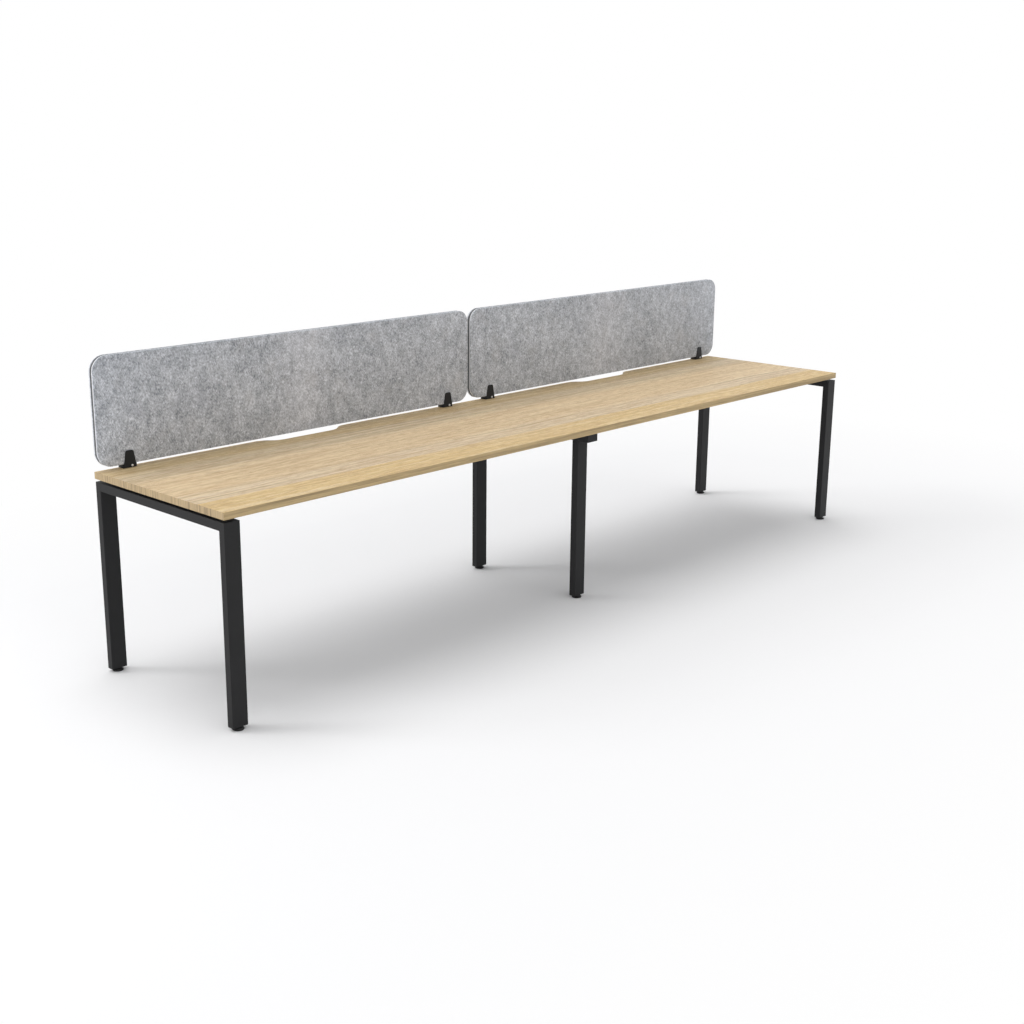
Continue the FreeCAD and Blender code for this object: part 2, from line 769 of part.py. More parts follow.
def clamp(label, x):
    # The fixed half: a block on the desk that the screen stands on, with the rear jaw.
    # The local origin is on the desk, under the middle of the screen's thickness.
    half = panelThickness / 2
    body = newBody(label)
    plan = sketchOn(body, "XY_Plane")
    wide = sizes.clamp_width / 2
    back = half + sizes.jaw_thickness
    polygon(plan, [(-wide, -half), (wide, -half), (wide, back), (-wide, back)])
    pad(body, plan, sizes.screen_lift)
    rear = sketchOn(body, "XZ_Plane", -back)
    jawOutline(rear, asSize(0))
    pad(body, rear, sizes.jaw_thickness)
    fillet(body, topCorners(body.Shape), sizes.jaw_round)
    bore = sketchOn(body, "XZ_Plane", half)
    radius = sizes.pinch_diameter / 2 + sizes.moving_clearance
    circle(bore, sizes.pinch_offset, sizes.pinch_height, radius)
    pocket(body, bore, sizes.pinch_length)
    fixings = sketchOn(body, "XY_Plane", sizes.screen_lift)
    heads = sketchOn(body, "XY_Plane", sizes.screen_lift)
    for step in (-1, 1):
        circle(fixings, sizes.fixing_spacing / 2 * step, 0, fixingHole)
        circle(heads, sizes.fixing_spacing / 2 * step, 0, sizes.fixing_head / 2 + sizes.screw_clearance)
    pocket(body, fixings)
    pocket(body, heads, sizes.fixing_head_height)
    place(body, x, panelMiddleY, sizes.desk_height)
    return body


def clampJaw(label, x):
    # The loose front jaw, drawn against the screen by its pinch screw.
    half = panelThickness / 2
    body = newBody(f"{label}_jaw")
    plate = sketchOn(body, "XZ_Plane", half)
    jawOutline(plate, sizes.jaw_clearance)
    pad(body, plate, sizes.jaw_thickness)
    fillet(body, topCorners(body.Shape), sizes.jaw_round)
    fillet(body, rimEdges(body.Shape, (0, -1, 0)), sizes.jaw_edge)
    hole = sketchOn(body, "XZ_Plane")
    radius = sizes.pinch_diameter / 2 + sizes.screw_clearance
    circle(hole, sizes.pinch_offset, sizes.pinch_height, radius)
    pocket(body, hole)
    place(body, x, panelMiddleY, sizes.desk_height)
    return body


def pinchScrew(label, x):
    # Its head bears on the front jaw and its shank goes back into the clamp's block.
    body = newBody(f"{label}_screw")
    profile = sketchOn(body, "XY_Plane")
    shank = sizes.pinch_diameter / 2
    rim = sizes.pinch_head / 2
    polygon(profile, [(0, -sizes.pinch_head_height), (rim - sizes.pinch_bevel, -sizes.pinch_head_height),
                      (rim, sizes.pinch_bevel - sizes.pinch_head_height), (rim, 0), (shank, 0),
                      (shank, sizes.pinch_length), (0, sizes.pinch_length)])
    revolve(body, profile)
    seat = panelMiddleY - panelThickness / 2 - sizes.jaw_thickness
    place(body, x + sizes.pinch_offset, seat, sizes.desk_height + sizes.pinch_height)
    return body


parts = []
for endName, end in ends.items():
    parts.append(worktop(endName, end))
    parts.append(edgeBand(endName, end))
    parts.extend(endFrame(endName, end))
    parts.extend(screen(endName, end))
    for sideName, side in sides.items():
        parts.append(beam(endName, end, sideName, side))
parts.extend(centreFrame())
parts.append(railCaps())
parts.extend(legPlugs())
for name, x, y in legPlaces():
    parts.append(levellingFoot(name, x, y))
for label, x, y, turn in saddlePlaces():
    parts.append(saddle(label, x, y, turn))
for label, x in clampPlaces():
    parts.append(clamp(label, x))
    parts.append(clampJaw(label, x))
    parts.append(pinchScrew(label, x))
parts.extend([topSpacers(), topScrews(), saddleScrews(), fixingScrews()])
doc.recompute()

for item in doc.Objects:
    if "Invalid" in item.State or "Error" in item.State:
        raise RuntimeError(f"{item.Label} did not compute: {item.State}")
for part in parts:
    if part.Shape.isNull() or not part.Shape.isValid():
        raise RuntimeError(f"{part.Label} has no valid shape")

os.makedirs("parts", exist_ok=True)
for part in parts:
    part.Shape.exportStep(f"parts/{part.Label}.step")
print(f"{len(parts)} sub-parts, {sum(len(part.Shape.Solids) for part in parts)} solids")
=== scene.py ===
import bpy
import json
import math
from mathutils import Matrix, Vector


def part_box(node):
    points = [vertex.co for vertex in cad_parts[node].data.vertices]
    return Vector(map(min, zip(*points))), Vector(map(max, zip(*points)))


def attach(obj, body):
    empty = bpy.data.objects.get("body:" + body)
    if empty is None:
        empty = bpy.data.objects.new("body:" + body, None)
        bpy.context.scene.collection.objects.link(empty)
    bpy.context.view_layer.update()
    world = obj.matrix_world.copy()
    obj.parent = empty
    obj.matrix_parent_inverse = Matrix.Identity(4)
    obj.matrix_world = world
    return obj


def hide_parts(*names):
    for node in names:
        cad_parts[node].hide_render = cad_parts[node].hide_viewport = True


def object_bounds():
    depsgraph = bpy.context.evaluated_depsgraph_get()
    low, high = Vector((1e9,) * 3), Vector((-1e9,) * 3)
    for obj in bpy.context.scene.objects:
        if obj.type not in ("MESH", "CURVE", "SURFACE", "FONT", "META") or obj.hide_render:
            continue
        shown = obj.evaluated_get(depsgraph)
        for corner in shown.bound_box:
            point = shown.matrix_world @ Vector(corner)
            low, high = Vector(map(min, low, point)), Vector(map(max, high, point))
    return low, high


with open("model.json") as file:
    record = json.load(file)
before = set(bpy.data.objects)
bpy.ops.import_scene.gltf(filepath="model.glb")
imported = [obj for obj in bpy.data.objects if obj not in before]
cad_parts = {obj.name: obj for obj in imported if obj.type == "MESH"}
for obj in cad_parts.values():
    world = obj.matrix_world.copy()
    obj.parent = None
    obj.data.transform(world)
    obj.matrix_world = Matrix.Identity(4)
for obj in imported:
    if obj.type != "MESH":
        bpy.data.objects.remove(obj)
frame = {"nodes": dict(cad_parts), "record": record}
nodes = frame["nodes"]
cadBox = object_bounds()
bpy.context.scene.view_settings.view_transform = "Standard"
print("frame loaded:", len(nodes), "nodes")

# camera, fitted to the photograph's corners
photoCamera = {"place": (-4.1770, -3.7721, 1.8574), "yaw": 45.05, "pitch": 14.60, "sensor": 36,
               "lens": 48.654, "shift": (0.0504, -0.0189), "reach": 200}
cameraData = bpy.data.cameras.new("photo_camera")
cameraData.sensor_width = photoCamera["sensor"]
cameraData.lens = photoCamera["lens"]
cameraData.shift_x, cameraData.shift_y = photoCamera["shift"]
cameraData.clip_end = photoCamera["reach"]
camera = bpy.data.objects.new("photo_camera", cameraData)
camera.location = photoCamera["place"]
camera.rotation_euler = (math.radians(90 - photoCamera["pitch"]), 0,
                         -math.radians(photoCamera["yaw"]))
bpy.context.scene.collection.objects.link(camera)
bpy.context.scene.camera = camera
print("camera set")


class Wire:
    # a socket, so that shader maths reads as plain expressions
    def __init__(self, finish, socket):
        self.finish = finish
        self.socket = socket

    def maths(self, operation, first, second=0.0):
        return self.finish.add("ShaderNodeMath", {"operation": operation}, {0: first, 1: second})

    def __add__(self, other):
        return self.maths("ADD", self, other)

    def __radd__(self, other):
        return self.maths("ADD", other, self)

    def __sub__(self, other):
        return self.maths("SUBTRACT", self, other)

    def __rsub__(self, other):
        return self.maths("SUBTRACT", other, self)

    def __mul__(self, other):
        return self.maths("MULTIPLY", self, other)

    def __rmul__(self, other):
        return self.maths("MULTIPLY", other, self)

    def __pow__(self, other):
        return self.maths("POWER", self, other)

    def __abs__(self):
        return self.maths("ABSOLUTE", self)


class Finish:
    # a material with one Principled shader, whose patterns read Object coordinates
    def __init__(self, name, **fixed):
        self.material = bpy.data.materials.new(name)
        self.startTree(self.material)
        self.shader = self.node("ShaderNodeBsdfPrincipled", None,
                                {key.replace("_", " "): value for key, value in fixed.items()})
        self.output = self.node("ShaderNodeOutputMaterial", None,
                                {"Surface": Wire(self, self.shader.outputs[0])})
        self.place = self.add("ShaderNodeTexCoord", output="Object")

    def startTree(self, owner):
        owner.use_nodes = True
        self.tree = owner.node_tree
        self.tree.nodes.clear()

    def node(self, kind, settings=None, sockets=None):
        node = self.tree.nodes.new(kind)
        for key, value in (settings or {}).items():
            if key == "stops":
                ramp = node.color_ramp
                while len(ramp.elements) < len(value):
                    ramp.elements.new(0.5)
                for element, (position, colour) in zip(ramp.elements, value):
                    element.position = position
                    element.color = (*colour, 1)
            else:
                setattr(node, key, value)
        for key, value in (sockets or {}).items():
            if isinstance(value, Wire):
                self.tree.links.new(value.socket, node.inputs[key])
            else:
                node.inputs[key].default_value = value
        return node

    def add(self, kind, settings=None, sockets=None, output=0):
        return Wire(self, self.node(kind, settings, sockets).outputs[output])

    def axis(self, vector, letter):
        return self.add("ShaderNodeSeparateXYZ", None, {0: vector}, output=letter)

    def facing(self, letter):
        return self.axis(self.add("ShaderNodeNewGeometry", output="Normal"), letter)

    def mapped(self, scale, turn=(0, 0, 0), shift=(0, 0, 0), source=None):
        return self.add("ShaderNodeMapping", None, {"Vector": source or self.place, "Scale": scale,
                                                    "Rotation": turn, "Location": shift})

    def noise(self, scale, detail=3, rough=0.5, shift=(0, 0, 0), source=None):
        # scale gives the number of features in a metre, along each axis or along all of them
        if not isinstance(scale, tuple):
            scale = (scale, scale, scale)
        return self.add("ShaderNodeTexNoise", {"noise_dimensions": "3D"},
                        {"Vector": self.mapped(scale, shift=shift, source=source), "Scale": 1.0,
                         "Detail": detail, "Roughness": rough})

    def ramp(self, value, *stops):
        return self.add("ShaderNodeValToRGB", {"stops": stops}, {0: value})

    def between(self, value, low, high):
        # 0 at low and 1 at high, and level beyond them
        return self.add("ShaderNodeMapRange", {"clamp": True},
                        {"Value": value, "From Min": low, "From Max": high})

    def blendColour(self, factor, first, second):
        sockets = {0: factor}
        for key, colour in ((6, first), (7, second)):
            sockets[key] = colour if isinstance(colour, Wire) else (*colour, 1)
        return self.add("ShaderNodeMix", {"data_type": "RGBA"}, sockets, output=2)

    def bump(self, height, strength, distance):
        return self.add("ShaderNodeBump", None, {"Height": height, "Strength": strength,
                                                 "Distance": distance})

    def feed(self, **wires):
        for key, wire in wires.items():
            self.tree.links.new(wire.socket, self.shader.inputs[key.replace("_", " ")])
        return self.material


def tone(red, green, blue):
    # a screen colour, 0 to 255, as the linear colour that shaders take
    return tuple((c / 255 / 12.92 if c <= 10 else ((c / 255 + 0.055) / 1.055) ** 2.4)
                 for c in (red, green, blue))


def dimmed(colour, share):
    return tuple(c * share for c in colour)


# oak decor of the tops: a yellow front, a band of pale and grey threads, a wide beige middle with
# tan rings, a grey band and a tan rear, with short flecks, brown lines and fine pores all over; the grey
# band and the tan rear are darker partly as decor and partly as painted shade of the screens behind them
oakLook = {"yellow": tone(216, 188, 134), "pink": tone(212, 193, 164), "beige": tone(219, 195, 158),
           "grey": tone(198, 181, 151), "rear": tone(204, 180, 134), "ring": tone(192, 164, 128),
           "glow": tone(232, 213, 176), "thread": tone(166, 148, 122), "pale": tone(232, 217, 197),
           "fleck": tone(172, 151, 112), "line": tone(168, 126, 88), "pore": tone(136, 106, 73),
           "backing": tone(150, 150, 149), "depth": (-0.375, 0.375), "swayReach": 0.055,
           "raggedReach": 0.02}
# bands of colour from front to rear, and how strong the threads are in each
oakBands = ((0.183, "yellow"), (0.192, "pink"), (0.29, "pink"), (0.36, "beige"), (0.63, "beige"),
            (0.71, "grey"), (0.81, "grey"), (0.86, "rear"))
threadBands = ((0.175, 0.3), (0.2, 1), (0.32, 1), (0.37, 0.3), (0.64, 0.3), (0.71, 0.8), (0.8, 0.8),
               (0.86, 0.3))
# layers of grain: scale, detail, roughness and place in the noise
oakGrain = {"sway": ((2.1, 1.0, 1), 1, 0.4, (0, 2, 0)), "ragged": ((0.8, 70, 1), 2, 0.6, (6, 3, 0)),
            "thread": ((0.5, 64, 1), 2, 0.55, (3, 1, 0)), "fine": ((0.9, 190, 1), 2, 0.5, (4, 8, 0)),
            "ring": ((1.7, 58, 1), 1, 0.5, (2, 7, 0)), "ringFine": ((3, 165, 1), 1, 0.5, (8, 6, 0)),
            "fleck": ((24, 130, 1), 2, 0.6, (5, 9, 0)), "line": ((13, 620, 1), 1, 0.5, (7, 2, 0)),
            "pore": ((60, 1300, 1), 2, 0.5, (1, 5, 0)), "poreZone": ((2, 24, 1), 2, 0.5, (9, 4, 0))}
# stains: colour, where in the layer's range they start and are full, and their share
oakStains = {"thread": ("thread", 0.52, 0.61, 0.75), "threadPale": ("pale", 0.48, 0.39, 0.68),
             "ring": ("ring", 0.52, 0.62, 0.52), "ringPale": ("glow", 0.48, 0.38, 0.5),
             "fleck": ("fleck", 0.52, 0.64, 0.36), "fleckPale": ("glow", 0.48, 0.36, 0.34),
             "line": ("line", 0.56, 0.64, 0.55), "pore": ("pore", 0.58, 0.66, 0.5)}


def oakPattern(oak):
    def layer(name, source):
        scale, detail, rough, shift = oakGrain[name]
        return oak.noise(scale, detail, rough, shift, source)

    def mask(name, value):
        return oak.between(value, *oakStains[name][1:3])

    def stain(under, name, strength):
        return oak.blendColour(strength * oakStains[name][3], under, oakLook[oakStains[name][0]])

    grain = oak.add("ShaderNodeVectorMath", {"operation": "MULTIPLY_ADD"},
                    {0: layer("sway", oak.place), 1: (0, oakLook["swayReach"], 0), 2: oak.place})
    ragged = (layer("ragged", grain) - 0.5) * oakLook["raggedReach"]
    across = oak.between(oak.axis(oak.place, "Y") + ragged, *oakLook["depth"])
    colour = oak.ramp(across, *((at, oakLook[name]) for at, name in oakBands))
    # long threads, strong in the two narrow bands and faint elsewhere
    zone = oak.ramp(across, *((at, (level, level, level)) for at, level in threadBands))
    strand = layer("thread", grain) * 0.65 + layer("fine", grain) * 0.35
    for name in ("thread", "threadPale"):
        colour = stain(colour, name, mask(name, strand) * zone)
    # growth rings, short flecks, then fine lines and pores
    ring = layer("ring", grain) * 0.55 + layer("ringFine", grain) * 0.45
    for name in ("ring", "ringPale"):
        colour = stain(colour, name, mask(name, ring))
    fleck = layer("fleck", grain)
    for name in ("fleck", "fleckPale"):
        colour = stain(colour, name, mask(name, fleck))
    line = layer("line", grain)
    lineMask = mask("line", line)
    colour = stain(colour, "line", lineMask)
    dash = mask("pore", layer("pore", grain)) * oak.between(layer("poreZone", grain), 0.38, 0.6)
    return stain(colour, "pore", dash), line, lineMask, dash


def oakTop():
    # oak above, and a plain grey backing sheet underneath
    oak = Finish("oak_top", Specular_IOR_Level=0.2)
    colour, line, lineMask, dash = oakPattern(oak)
    under = oak.between(oak.facing("Z"), -0.45, -0.55)
    mottle = oak.noise(160, 3, 0.6)
    backing = oak.ramp(mottle, (0.3, dimmed(oakLook["backing"], 0.88)), (0.7, oakLook["backing"]))
    height = (0 - lineMask * 0.4 - dash) * (1 - under)
    return oak.feed(Base_Color=oak.blendColour(under, colour, backing),
                    Roughness=0.5 + line * 0.1 + dash * 0.15,
                    Normal=oak.bump(height, strength=0.25, distance=0.0004))


oakEdgeLook = {"side": tone(194, 170, 127), "sideDark": tone(151, 131, 97),
               "end": tone(192, 169, 131), "endDark": tone(118, 100, 79)}


def oakEdge():
    # the top's own grain above, long streaks on the long sides, short upright ones on the ends
    oak = Finish("oak_edge_strip", Specular_IOR_Level=0.3)
    above, _, lineMask, dash = oakPattern(oak)
    ahead = oak.facing("X")
    onEnd = oak.between(ahead * ahead, 0.45, 0.55)
    onTop = oak.between(oak.facing("Z"), 0.6, 0.8)
    long = (oak.noise((1.5, 60, 110), 4, 0.6) * 0.6
            + oak.noise((8, 200, 320), 3, 0.6, (2, 0, 1)) * 0.4)
    side = oak.blendColour(oak.between(long, 0.4, 0.6), oakEdgeLook["side"], oakEdgeLook["sideDark"])
    upright = oak.noise((60, 260, 5), 3, 0.6)
    cluster = oak.between(oak.noise((10, 16, 3), 2, 0.5, (5, 5, 0)), 0.36, 0.56)
    streak = oak.between(upright, 0.44, 0.6) * (0.3 + cluster * 0.7)
    end = oak.blendColour(streak * 0.7, oakEdgeLook["end"], oakEdgeLook["endDark"])
    height = long * (1 - onTop) - (lineMask * 0.4 + dash) * onTop
    return oak.feed(Base_Color=oak.blendColour(onTop, oak.blendColour(onEnd, side, end), above),
                    Roughness=0.48 + long * 0.14,
                    Normal=oak.bump(height, strength=0.2, distance=0.0003))


# pressed grey felt: faint clouds, short tangled fibres, a fine light and dark speckle, and a paler
# upright band in the middle of each screen
# the near-white edge colour below is a painted highlight on the felt's edge
feltLook = {"dark": tone(114, 118, 127), "mid": tone(177, 182, 190), "light": tone(227, 231, 239),
            "warm": tone(190, 189, 191), "cool": tone(160, 164, 177), "edgeHighlight": tone(246, 247, 249),
            "band": tone(206, 200, 205), "bandReach": (0.17, 0.03), "bandLift": 0.017,
            "bandShare": 0.1, "tintShare": 0.25}
# fibres: how far they lean, their scale and their share
feltFibres = {"clump": ((0.5, (230, 230, 95), 0.6), (-0.9, (230, 230, 100), 0.4)),
              "hair": ((1.1, (1100, 900, 120), 0.5), (-0.4, (1100, 900, 120), 0.5))}


def greyFelt():
    felt = Finish("grey_felt", Roughness=0.95, Sheen_Weight=0.15, Sheen_Roughness=0.6)

    def fibres(name):
        # two layers, each leaning by its own angle in the plane of the screen
        total = 0
        for lean, scale, share in feltFibres[name]:
            turned = felt.mapped((1, 1, 1), (0, lean, 0))
            total = total + felt.noise(scale, 3, 0.65, (lean, 0, 2), turned) * share
        return total

    cloud = felt.noise(6, 3, 0.55)
    patch = felt.noise((42, 42, 32), 4, 0.75, (3, 3, 3))
    clump, hair = fibres("clump"), fibres("hair")
    middle = sum(corner.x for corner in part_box("right_screen_front_felt")) / 2
    aside = abs(abs(felt.axis(felt.place, "X")) - middle)
    band = felt.between(aside, *feltLook["bandReach"])
    value = cloud * 0.08 + patch * 0.25 + clump * 0.5 + hair * 0.17 + band * feltLook["bandLift"]
    colour = felt.ramp(value, (0.41, feltLook["dark"]), (0.5, feltLook["mid"]),
                       (0.59, feltLook["light"]))
    tint = felt.noise(9, 3, 0.6, (8, 1, 6))
    for name, start, full in (("warm", 0.55, 0.72), ("cool", 0.45, 0.28)):
        share = felt.between(tint, start, full) * feltLook["tintShare"]
        colour = felt.blendColour(share, colour, feltLook[name])
    colour = felt.blendColour(band * feltLook["bandShare"], colour, feltLook["band"])
    return felt.feed(Base_Color=colour,
                     Normal=felt.bump(clump * 0.6 + hair * 0.5, strength=0.45, distance=0.001))


def feltEdgeHighlight():
    # a near-white strip on the flat of the felt's edge: painted highlight where the edge catches the
    # light
    felt = Finish("felt_edge_painted_highlight", Roughness=0.9)
    fibre = felt.noise(160, 3, 0.65)
    colour = felt.blendColour(felt.between(fibre, 0.4, 0.75) * 0.3, feltLook["edgeHighlight"], feltLook["mid"])
    return felt.feed(Base_Color=colour, Normal=felt.bump(fibre, strength=0.4, distance=0.0006))


def paint(name, colour, rough, grain, depth, **fixed):
    # dark coats: a fine pebbled surface, a little dust and uneven gloss
    coat = Finish(name, **fixed)
    pebble = coat.noise(grain, 2, 0.5)
    cloud = coat.noise(9, 3, 0.55)
    shade = coat.ramp(cloud * 0.6 + pebble * 0.4, (0.3, dimmed(colour, 0.85)),
                      (0.7, dimmed(colour, 1.2)))
    return coat.feed(Base_Color=shade, Roughness=rough - 0.08 + cloud * 0.16,
                     Normal=coat.bump(pebble, strength=0.3, distance=depth))


def plating(name, colour, rough):
    # plated steel, a little cloudy and finely scratched
    steel = Finish(name, Metallic=1.0)
    scratch = steel.noise(900, 3, 0.6)
    cloud = steel.noise(160, 3, 0.55)
    shade = steel.ramp(cloud, (0.3, dimmed(colour, 0.78)), (0.7, colour))
    return steel.feed(Base_Color=shade, Roughness=rough + scratch * 0.15,
                      Normal=steel.bump(scratch, strength=0.12, distance=0.0001))


finishes = {
    "oak_board": oakTop(),
    "oak_edge_band": oakEdge(),
    "grey_felt": greyFelt(),
    "felt_edge_highlight": feltEdgeHighlight(),
    "screen_core": paint("screen_core", tone(96, 97, 99), 0.8, 700, 0.0002),
    "black_steel": paint("black_powder_coat", tone(33, 33, 34), 0.5, 1500, 0.0001,
                         Specular_IOR_Level=0.2),
    "black_plastic": paint("black_plastic", tone(30, 30, 31), 0.55, 1100, 0.00008,
                           Specular_IOR_Level=0.25),
    "foot_steel": paint("foot_paint", tone(30, 30, 31), 0.45, 1300, 0.00008,
                        Specular_IOR_Level=0.25),
    "clamp_black": paint("clamp_paint", tone(27, 29, 32), 0.42, 1600, 0.00006,
                         Specular_IOR_Level=0.25),
    "bright_steel": plating("bright_plating", tone(226, 226, 228), 0.22),
    "zinc_steel": plating("zinc_plating", tone(205, 206, 210), 0.34),
}
print("finishes made:", len(finishes))


def dress(piece, slot):
    piece.data.materials.clear()
    piece.data.materials.append(finishes[slot])


# each CAD node gets the finish of its slot in the record
slotOf = {entry["node"]: entry["material_slot"] for entry in frame["record"]["subparts"]}
for nodeName, slotName in slotOf.items():
    dress(nodes[nodeName], slotName)
print("nodes dressed:", len(slotOf))

# modelling helpers, all on the active mesh in edit mode; lengths in metres
weldReach = 0.000005
touching = 0.000001
clearlyApart = 0.001
# a face whose normal reaches this far along an axis counts as square to it
squareOn = 0.9
quarterTurn = math.pi / 2


def startFresh():
    if bpy.context.object and bpy.context.object.mode == "EDIT":
        bpy.ops.object.mode_set(mode="OBJECT")
    bpy.ops.object.select_all(action="DESELECT")


def applyPlace():
    bpy.ops.object.transform_apply(location=True, rotation=True, scale=True)


def choose(kind, test):
    # selects the edges or faces that pass the test, and no others
    bpy.ops.mesh.select_mode(type={"edges": "EDGE", "polygons": "FACE"}[kind])
    bpy.ops.mesh.select_all(action="DESELECT")
    bpy.ops.object.mode_set(mode="OBJECT")
    mesh = bpy.context.object.data
    for item in getattr(mesh, kind):
        item.select = bool(test(mesh, item))
    bpy.ops.object.mode_set(mode="EDIT")


def ends(mesh, edge):
    return [mesh.vertices[index].co for index in edge.vertices]


def bevelDepthEdges(width, steps):
    # rounds the edges that run from front to rear
    def runsDeep(mesh, edge):
        first, second = ends(mesh, edge)
        return abs(first.y - second.y) > clearlyApart

    choose("edges", runsDeep)
    bpy.ops.mesh.bevel(offset=width, segments=steps, affect="EDGES")


def bevelRim(where, width, steps):
    # rounds the rim of the face that lies at one depth
    choose("edges", lambda mesh, edge: all(abs(end.y - where) < touching for end in ends(mesh, edge)))
    bpy.ops.mesh.bevel(offset=width, segments=steps, affect="EDGES")


def block(name, low, high):
    # a cube primitive at its size and place, left in edit mode
    startFresh()
    low, high = Vector(low), Vector(high)
    bpy.ops.mesh.primitive_cube_add(size=1, location=(low + high) / 2, scale=high - low)
    piece = bpy.context.object
    piece.name = name
    applyPlace()
    bpy.ops.object.mode_set(mode="EDIT")
    return piece


def lathe(name, steps, sides=32):
    # a ring drawn out step by step along Z: each step is a radius and a height
    startFresh()
    radius, height = steps[0]
    bpy.ops.mesh.primitive_circle_add(vertices=sides, radius=radius, fill_type="NGON",
                                      location=(0, 0, height))
    piece = bpy.context.object
    piece.name = name
    applyPlace()
    bpy.ops.object.mode_set(mode="EDIT")
    bpy.ops.mesh.select_all(action="SELECT")
    for newRadius, newHeight in steps[1:]:
        rise = (0, 0, newHeight - height)
        bpy.ops.mesh.extrude_region_move(TRANSFORM_OT_translate={"value": rise})
        ratio = newRadius / radius
        bpy.ops.transform.resize(value=(ratio, ratio, 1), center_override=(0, 0, newHeight))
        radius, height = newRadius, newHeight
    return piece


def settle(piece, angle=35):
    # closes the mesh, turns its faces outwards and smooths what is round
    if bpy.context.object.mode != "EDIT":
        bpy.ops.object.mode_set(mode="EDIT")
    bpy.ops.mesh.select_all(action="SELECT")
    bpy.ops.mesh.remove_doubles(threshold=weldReach)
    bpy.ops.mesh.normals_make_consistent(inside=False)
    bpy.ops.object.mode_set(mode="OBJECT")
    bpy.ops.object.shade_smooth_by_angle(angle=math.radians(angle))
    return piece


def copyTo(piece, name, shift, turn=None):
    # a copy with its own mesh, moved in its mesh so that the object stays at the origin
    startFresh()
    piece.select_set(True)
    bpy.context.view_layer.objects.active = piece
    bpy.ops.object.duplicate(linked=False)
    twin = bpy.context.object
    twin.name = name
    if turn:
        twin.rotation_euler = turn
    twin.location = shift
    applyPlace()
    return twin


def drop(piece):
    bpy.data.objects.remove(piece, do_unlink=True)


def joinAs(name, pieces):
    startFresh()
    for piece in pieces:
        piece.select_set(True)
    bpy.context.view_layer.objects.active = pieces[0]
    bpy.ops.object.join()
    joined = bpy.context.object
    joined.name = name
    return joined


def sinkSocket(across, depth):
    # opens the round end face at the foot of a lathe piece and sinks a six-sided socket into it
    def level(end):
        return abs(end.z) < touching

    choose("polygons", lambda mesh, face: level(face.center) and abs(face.normal.z) > squareOn)
    bpy.ops.mesh.delete(type="ONLY_FACE")
    bpy.ops.mesh.primitive_circle_add(vertices=6, radius=across, fill_type="NOTHING")
    choose("edges", lambda mesh, edge: all(level(end) for end in ends(mesh, edge)))
    bpy.ops.mesh.bridge_edge_loops()
    # the socket's own edge, and not the rim round it
    choose("edges", lambda mesh, edge: all(level(end) and end.xy.length < across + touching
                                           for end in ends(mesh, edge)))
    bpy.ops.mesh.extrude_region_move(TRANSFORM_OT_translate={"value": (0, 0, depth)})
    bpy.ops.mesh.edge_face_add()


def copyOfNode(nodeName, name):
    # a copy of a CAD node's mesh with its triangles joined up, left in edit mode
    startFresh()
    piece = bpy.data.objects.new(name, nodes[nodeName].data.copy())
    bpy.context.scene.collection.objects.link(piece)
    bpy.context.view_layer.objects.active = piece
    piece.select_set(True)
    bpy.ops.mesh.customdata_custom_splitnormals_clear()
    bpy.ops.object.mode_set(mode="EDIT")
    bpy.ops.mesh.select_all(action="SELECT")
    bpy.ops.mesh.remove_doubles(threshold=weldReach)
    return piece


def solidsOf(nodeName):
    # the lowest and highest corner of each separate solid in a node
    copyOfNode(nodeName, "measure")
    bpy.ops.mesh.separate(type="LOOSE")
    bpy.ops.object.mode_set(mode="OBJECT")
    boxes = []
    for part in list(bpy.context.selected_objects):
        corners = [vertex.co for vertex in part.data.vertices]
        boxes.append((Vector(map(min, zip(*corners))), Vector(map(max, zip(*corners)))))
        drop(part)
    return boxes


def fit(piece, body, slotName, *replaced):
    dress(piece, slotName)
    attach(piece, body)
    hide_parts(*replaced)


# felt boards: a pressed board with a full soft rim outside and a crisp one against the core
feltBoard = {"corner": 0.055, "cornerSteps": 16, "rim": 0.0036, "rimSteps": 5, "backRim": 0.0008,
             "backRimSteps": 2, "highlightFacing": 0.02}


def makeFelt(nodeName, outward):
    low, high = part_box(nodeName)
    piece = block(nodeName + "_board", low, high)
    bevelDepthEdges(feltBoard["corner"], feltBoard["cornerSteps"])
    back, face = (low.y, high.y) if outward > 0 else (high.y, low.y)
    bevelRim(face, feltBoard["rim"], feltBoard["rimSteps"])
    bevelRim(back, feltBoard["backRim"], feltBoard["backRimSteps"])
    settle(piece)
    fit(piece, "desk", "grey_felt", nodeName)
    # the flat of the edge between the two rims takes the near-white painted highlight
    piece.data.materials.append(finishes["felt_edge_highlight"])
    for polygon in piece.data.polygons:
        polygon.material_index = int(abs(polygon.normal.y) < feltBoard["highlightFacing"])


for endName in ("left", "right"):
    makeFelt(endName + "_screen_front_felt", -1)
    makeFelt(endName + "_screen_rear_felt", 1)
print("felt boards made")

# bright socket screws that pinch the front jaws
pinchScrew = {"rimStep": 0.0008, "rimCurve": (0.35, 0.3), "shank": 0.0025, "tip": 0.0008,
              "socket": 0.0023, "socketDepth": 0.0018}


def makePinchScrews():
    low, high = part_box("left_outer_clamp_screw")
    head = (high.x - low.x) / 2
    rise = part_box("left_outer_clamp_jaw")[0].y - low.y
    length = high.y - low.y
    step, shank, tip = pinchScrew["rimStep"], pinchScrew["shank"], pinchScrew["tip"]
    inward, upward = pinchScrew["rimCurve"]
    master = lathe("pinch_screw", [(head - step, 0), (head - step * inward, step * upward), (head, step),
                                   (head, rise), (shank, rise), (shank, length - tip),
                                   (shank - tip, length)])
    sinkSocket(pinchScrew["socket"], pinchScrew["socketDepth"])
    settle(master)
    for clampName in ("left_outer", "left_inner", "right_outer", "right_inner"):
        nodeName = clampName + "_clamp_screw"
        low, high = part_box(nodeName)
        middle = (low + high) / 2
        twin = copyTo(master, nodeName + "_socket_head", (middle.x, low.y, middle.z),
                      (-quarterTurn, 0, 0))
        fit(twin, clampName + "_clamp_jaw", "bright_steel", nodeName)
    drop(master)


makePinchScrews()
print("pinch screws made")

